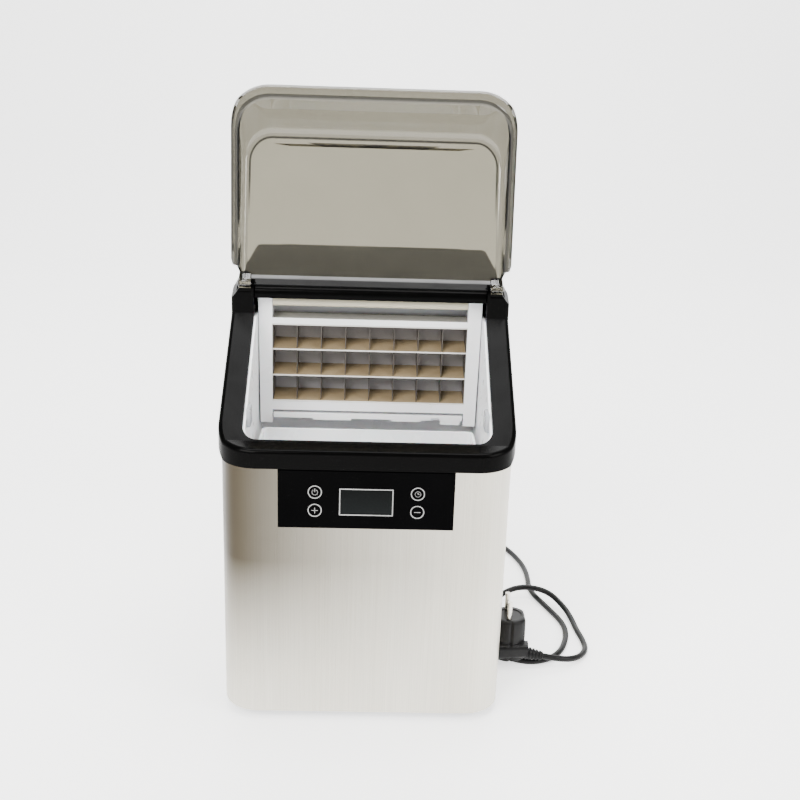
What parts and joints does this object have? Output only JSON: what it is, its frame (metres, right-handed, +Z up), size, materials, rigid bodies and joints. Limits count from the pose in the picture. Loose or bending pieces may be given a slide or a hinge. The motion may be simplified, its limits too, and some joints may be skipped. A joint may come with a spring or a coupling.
{
  "type": "countertop ice maker",
  "caption": "Countertop clear-ice maker with brushed steel cabinet, black top frame, open smoke-tinted lid, white ice compartment, control panel and mains cord.",
  "frame": {"origin": "centre of the cabinet footprint, on the surface that the feet stand on", "axes": "+Z up, -Y towards the control panel at the front, +X to the right as seen from the front"},
  "size_m": [0.353, 0.443, 0.5388],
  "materials": {
    "brushed_stainless": "vertical brushed, satin",
    "grey_galvanised": "satin grey",
    "grey_plastic": "fine-textured moulding",
    "bright_steel": "bright turned",
    "black_rubber": "matt",
    "gloss_black": "high gloss moulded",
    "smoke_clear": "smoke-tinted clear moulding",
    "panel_black": "satin gloss film",
    "silver_trim": "satin silver plated",
    "display_glass": "unlit grey display window",
    "board_parts": "moulded",
    "board_green": "solder resist",
    "white_plastic": "satin moulded",
    "basket_plastic": "translucent white moulded",
    "cell_metal": "tinned, satin",
    "copper": "drawn copper tube",
    "cream_plastic": "moulded",
    "lens_plastic": "clear polished",
    "dark_plastic": "moulded",
    "silicone_hose": "translucent",
    "compressor_paint": "semi-gloss black",
    "fin_aluminium": "plain sheet",
    "motor_steel": "lamination stack",
    "valve_brass": "machined",
    "foam_white": "cellular foam",
    "cord_black": "smooth jacket",
    "pin_nickel": "nickel plated"
  },
  "bodies": {
    "cabinet": {"base_pan": "grey_galvanised", "board_bracket": "grey_galvanised", "button_rings": "silver_trim", "capillary_tube": "copper", "compressor": "compressor_paint", "compressor_bolts": "bright_steel", "compressor_core": "motor_steel", "compressor_grommets": "black_rubber", "condenser_fins": "fin_aluminium", "condenser_tubes": "copper", "control_board": "board_green", "control_panel": "panel_black", "discharge_line": "copper", "display_bezel": "silver_trim", "drain_hose": "silicone_hose", "evaporator_coil": "copper", "evaporator_frame": "white_plastic", "evaporator_grid": "cell_metal", "fan_motor": "motor_steel", "fan_shroud": "dark_plastic", "feet": "black_rubber", "filter_drier": "copper", "hot_gas_line": "copper", "hot_gas_valve": "valve_brass", "ice_sensor_left": "lens_plastic", "ice_sensor_right": "lens_plastic", "inner_tank": "white_plastic", "insulation": "foam_white", "lcd_screen": "display_glass", "lid_hinge_pins": "bright_steel", "liquid_line": "copper", "plug_body": "cord_black", "plug_pins": "pin_nickel", "power_board": "board_green", "power_cord": "cord_black", "pump_hose": "silicone_hose", "rear_panel": "grey_plastic", "rear_screws": "bright_steel", "rear_top_cover": "gloss_black", "steel_wrap": "brushed_stainless", "strain_relief": "black_rubber", "suction_line": "copper", "tactile_switches": "board_parts", "terminal_cover": "dark_plastic", "top_frame": "gloss_black", "water_distributor": "cream_plastic", "water_level_sensor": "board_parts", "water_pump": "dark_plastic", "water_trough": "white_plastic"},
    "lid": {"lid": "smoke_clear"},
    "basket": {"ice_basket": "basket_plastic"},
    "power": {"power_button": "panel_black"},
    "plus": {"plus_button": "panel_black"},
    "timer": {"timer_button": "panel_black"},
    "minus": {"minus_button": "panel_black"},
    "fan": {"fan_blade": "dark_plastic", "fan_shaft": "bright_steel"},
    "drain_cap": {"drain_plug": "black_rubber"}
  },
  "joints": [
    {"name": "lid_hinge", "type": "hinge", "parent": "cabinet", "child": "lid", "pos_m": [0, -0.041, 0.3645], "axis": [-1, 0, 0], "range_deg": [-132.3, 0]},
    {"name": "basket_lift", "type": "slide", "parent": "cabinet", "child": "basket", "axis": [0, 0, 1], "range_m": [0, 0.16]},
    {"name": "power_press", "type": "slide", "parent": "cabinet", "child": "power", "axis": [0, 1, 0], "range_m": [0, 0.0009], "stiffness_N_per_m": 400},
    {"name": "plus_press", "type": "slide", "parent": "cabinet", "child": "plus", "axis": [0, 1, 0], "range_m": [0, 0.0009], "stiffness_N_per_m": 400},
    {"name": "timer_press", "type": "slide", "parent": "cabinet", "child": "timer", "axis": [0, 1, 0], "range_m": [0, 0.0009], "stiffness_N_per_m": 400},
    {"name": "minus_press", "type": "slide", "parent": "cabinet", "child": "minus", "axis": [0, 1, 0], "range_m": [0, 0.0009], "stiffness_N_per_m": 400},
    {"name": "fan_spin", "type": "hinge", "parent": "cabinet", "child": "fan", "pos_m": [-0.067, 0.12, 0.091], "axis": [0, 1, 0], "continuous": true},
    {"name": "drain_pull", "type": "slide", "parent": "cabinet", "child": "drain_cap", "axis": [0, 1, 0], "range_m": [0, 0.025]}
  ]
}
